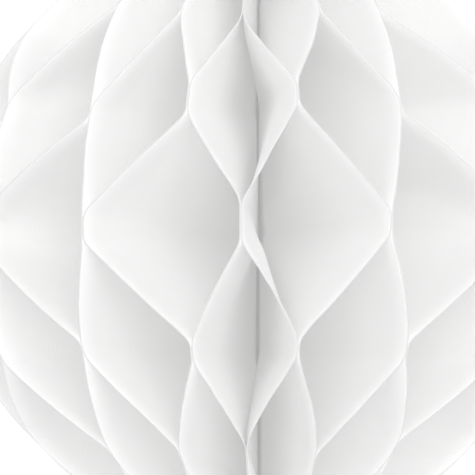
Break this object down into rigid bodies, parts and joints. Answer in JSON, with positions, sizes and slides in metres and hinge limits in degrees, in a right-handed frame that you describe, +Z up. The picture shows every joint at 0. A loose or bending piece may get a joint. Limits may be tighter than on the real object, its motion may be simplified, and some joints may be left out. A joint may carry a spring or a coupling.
{
  "type": "paper honeycomb ball",
  "caption": "White tissue-paper honeycomb ball opened all the way round: half-disc leaves glued in strips round a thread spine, between two card covers that fold it flat.",
  "frame": {"origin": "centre of the ball, on the spine thread at the middle height", "axes": "+Z up along the spine thread towards the top knot; -Y towards the front; the seam between the two covers is at the back, on +Y; +X to the right seen from the front"},
  "size_m": [0.098, 0.1, 0.107],
  "materials": {
    "tissue": "soft matt white tissue, slightly see-through",
    "card": "smooth matt white card",
    "cotton": "matt twisted white thread",
    "adhesive": "satin milky adhesive tab"
  },
  "bodies": {
    "core": {"cover_fixed": "card", "upper_tab": "adhesive", "middle_tab": "adhesive", "lower_tab": "adhesive", "spine_thread": "cotton", "top_knot": "cotton", "bottom_knot": "cotton"},
    "swing": {"cover_swing": "card"},
    "leaf_01": {"leaf_01": "tissue"},
    "leaf_02": {"leaf_02": "tissue"},
    "leaf_03": {"leaf_03": "tissue"},
    "leaf_04": {"leaf_04": "tissue"},
    "leaf_05": {"leaf_05": "tissue"},
    "leaf_06": {"leaf_06": "tissue"},
    "leaf_07": {"leaf_07": "tissue"},
    "leaf_08": {"leaf_08": "tissue"},
    "leaf_09": {"leaf_09": "tissue"},
    "leaf_10": {"leaf_10": "tissue"},
    "leaf_11": {"leaf_11": "tissue"},
    "leaf_12": {"leaf_12": "tissue"},
    "leaf_13": {"leaf_13": "tissue"},
    "leaf_14": {"leaf_14": "tissue"},
    "leaf_15": {"leaf_15": "tissue"},
    "leaf_16": {"leaf_16": "tissue"},
    "leaf_17": {"leaf_17": "tissue"},
    "leaf_18": {"leaf_18": "tissue"},
    "leaf_19": {"leaf_19": "tissue"},
    "leaf_20": {"leaf_20": "tissue"},
    "leaf_21": {"leaf_21": "tissue"},
    "leaf_22": {"leaf_22": "tissue"},
    "leaf_23": {"leaf_23": "tissue"},
    "leaf_24": {"leaf_24": "tissue"},
    "leaf_25": {"leaf_25": "tissue"},
    "leaf_26": {"leaf_26": "tissue"},
    "leaf_27": {"leaf_27": "tissue"},
    "leaf_28": {"leaf_28": "tissue"}
  },
  "joints": [
    {"name": "fold", "type": "hinge", "parent": "core", "child": "swing", "pos_m": [0, 0, 0], "axis": [0, 0, -1], "range_deg": [0, 348], "deforming": ["leaf_01", "leaf_02", "leaf_03", "leaf_04", "leaf_05", "leaf_06", "leaf_07", "leaf_08", "leaf_09", "leaf_10", "leaf_11", "leaf_12", "leaf_13", "leaf_14", "leaf_15", "leaf_16", "leaf_17", "leaf_18", "leaf_19", "leaf_20", "leaf_21", "leaf_22", "leaf_23", "leaf_24", "leaf_25", "leaf_26", "leaf_27", "leaf_28"]},
    {"name": "leaf_01_turn", "type": "hinge", "parent": "core", "child": "leaf_01", "pos_m": [0, 0, 0], "axis": [0, 0, -1], "range_deg": [0, 6.71]},
    {"name": "leaf_02_turn", "type": "hinge", "parent": "core", "child": "leaf_02", "pos_m": [0, 0, 0], "axis": [0, 0, -1], "range_deg": [0, 19.14]},
    {"name": "leaf_03_turn", "type": "hinge", "parent": "core", "child": "leaf_03", "pos_m": [0, 0, 0], "axis": [0, 0, -1], "range_deg": [0, 31.57]},
    {"name": "leaf_04_turn", "type": "hinge", "parent": "core", "child": "leaf_04", "pos_m": [0, 0, 0], "axis": [0, 0, -1], "range_deg": [0, 44]},
    {"name": "leaf_05_turn", "type": "hinge", "parent": "core", "child": "leaf_05", "pos_m": [0, 0, 0], "axis": [0, 0, -1], "range_deg": [0, 56.43]},
    {"name": "leaf_06_turn", "type": "hinge", "parent": "core", "child": "leaf_06", "pos_m": [0, 0, 0], "axis": [0, 0, -1], "range_deg": [0, 68.86]},
    {"name": "leaf_07_turn", "type": "hinge", "parent": "core", "child": "leaf_07", "pos_m": [0, 0, 0], "axis": [0, 0, -1], "range_deg": [0, 81.29]},
    {"name": "leaf_08_turn", "type": "hinge", "parent": "core", "child": "leaf_08", "pos_m": [0, 0, 0], "axis": [0, 0, -1], "range_deg": [0, 93.71]},
    {"name": "leaf_09_turn", "type": "hinge", "parent": "core", "child": "leaf_09", "pos_m": [0, 0, 0], "axis": [0, 0, -1], "range_deg": [0, 106.14]},
    {"name": "leaf_10_turn", "type": "hinge", "parent": "core", "child": "leaf_10", "pos_m": [0, 0, 0], "axis": [0, 0, -1], "range_deg": [0, 118.57]},
    {"name": "leaf_11_turn", "type": "hinge", "parent": "core", "child": "leaf_11", "pos_m": [0, 0, 0], "axis": [0, 0, -1], "range_deg": [0, 131]},
    {"name": "leaf_12_turn", "type": "hinge", "parent": "core", "child": "leaf_12", "pos_m": [0, 0, 0], "axis": [0, 0, -1], "range_deg": [0, 143.43]},
    {"name": "leaf_13_turn", "type": "hinge", "parent": "core", "child": "leaf_13", "pos_m": [0, 0, 0], "axis": [0, 0, -1], "range_deg": [0, 155.86]},
    {"name": "leaf_14_turn", "type": "hinge", "parent": "core", "child": "leaf_14", "pos_m": [0, 0, 0], "axis": [0, 0, -1], "range_deg": [0, 168.29]},
    {"name": "leaf_15_turn", "type": "hinge", "parent": "core", "child": "leaf_15", "pos_m": [0, 0, 0], "axis": [0, 0, -1], "range_deg": [0, 180.71]},
    {"name": "leaf_16_turn", "type": "hinge", "parent": "core", "child": "leaf_16", "pos_m": [0, 0, 0], "axis": [0, 0, -1], "range_deg": [0, 193.14]},
    {"name": "leaf_17_turn", "type": "hinge", "parent": "core", "child": "leaf_17", "pos_m": [0, 0, 0], "axis": [0, 0, -1], "range_deg": [0, 205.57]},
    {"name": "leaf_18_turn", "type": "hinge", "parent": "core", "child": "leaf_18", "pos_m": [0, 0, 0], "axis": [0, 0, -1], "range_deg": [0, 218]},
    {"name": "leaf_19_turn", "type": "hinge", "parent": "core", "child": "leaf_19", "pos_m": [0, 0, 0], "axis": [0, 0, -1], "range_deg": [0, 230.43]},
    {"name": "leaf_20_turn", "type": "hinge", "parent": "core", "child": "leaf_20", "pos_m": [0, 0, 0], "axis": [0, 0, -1], "range_deg": [0, 242.86]},
    {"name": "leaf_21_turn", "type": "hinge", "parent": "core", "child": "leaf_21", "pos_m": [0, 0, 0], "axis": [0, 0, -1], "range_deg": [0, 255.29]},
    {"name": "leaf_22_turn", "type": "hinge", "parent": "core", "child": "leaf_22", "pos_m": [0, 0, 0], "axis": [0, 0, -1], "range_deg": [0, 267.71]},
    {"name": "leaf_23_turn", "type": "hinge", "parent": "core", "child": "leaf_23", "pos_m": [0, 0, 0], "axis": [0, 0, -1], "range_deg": [0, 280.14]},
    {"name": "leaf_24_turn", "type": "hinge", "parent": "core", "child": "leaf_24", "pos_m": [0, 0, 0], "axis": [0, 0, -1], "range_deg": [0, 292.57]},
    {"name": "leaf_25_turn", "type": "hinge", "parent": "core", "child": "leaf_25", "pos_m": [0, 0, 0], "axis": [0, 0, -1], "range_deg": [0, 305]},
    {"name": "leaf_26_turn", "type": "hinge", "parent": "core", "child": "leaf_26", "pos_m": [0, 0, 0], "axis": [0, 0, -1], "range_deg": [0, 317.43]},
    {"name": "leaf_27_turn", "type": "hinge", "parent": "core", "child": "leaf_27", "pos_m": [0, 0, 0], "axis": [0, 0, -1], "range_deg": [0, 329.86]},
    {"name": "leaf_28_turn", "type": "hinge", "parent": "core", "child": "leaf_28", "pos_m": [0, 0, 0], "axis": [0, 0, -1], "range_deg": [0, 342.29]}
  ],
  "couplings": [
    {"joint": "leaf_01_turn", "follows": "fold", "ratio": 0.017857},
    {"joint": "leaf_02_turn", "follows": "fold", "ratio": 0.053571},
    {"joint": "leaf_03_turn", "follows": "fold", "ratio": 0.089286},
    {"joint": "leaf_04_turn", "follows": "fold", "ratio": 0.125},
    {"joint": "leaf_05_turn", "follows": "fold", "ratio": 0.16071},
    {"joint": "leaf_06_turn", "follows": "fold", "ratio": 0.19643},
    {"joint": "leaf_07_turn", "follows": "fold", "ratio": 0.23214},
    {"joint": "leaf_08_turn", "follows": "fold", "ratio": 0.26786},
    {"joint": "leaf_09_turn", "follows": "fold", "ratio": 0.30357},
    {"joint": "leaf_10_turn", "follows": "fold", "ratio": 0.33929},
    {"joint": "leaf_11_turn", "follows": "fold", "ratio": 0.375},
    {"joint": "leaf_12_turn", "follows": "fold", "ratio": 0.41071},
    {"joint": "leaf_13_turn", "follows": "fold", "ratio": 0.44643},
    {"joint": "leaf_14_turn", "follows": "fold", "ratio": 0.48214},
    {"joint": "leaf_15_turn", "follows": "fold", "ratio": 0.51786},
    {"joint": "leaf_16_turn", "follows": "fold", "ratio": 0.55357},
    {"joint": "leaf_17_turn", "follows": "fold", "ratio": 0.58929},
    {"joint": "leaf_18_turn", "follows": "fold", "ratio": 0.625},
    {"joint": "leaf_19_turn", "follows": "fold", "ratio": 0.66071},
    {"joint": "leaf_20_turn", "follows": "fold", "ratio": 0.69643},
    {"joint": "leaf_21_turn", "follows": "fold", "ratio": 0.73214},
    {"joint": "leaf_22_turn", "follows": "fold", "ratio": 0.76786},
    {"joint": "leaf_23_turn", "follows": "fold", "ratio": 0.80357},
    {"joint": "leaf_24_turn", "follows": "fold", "ratio": 0.83929},
    {"joint": "leaf_25_turn", "follows": "fold", "ratio": 0.875},
    {"joint": "leaf_26_turn", "follows": "fold", "ratio": 0.91071},
    {"joint": "leaf_27_turn", "follows": "fold", "ratio": 0.94643},
    {"joint": "leaf_28_turn", "follows": "fold", "ratio": 0.98214}
  ]
}
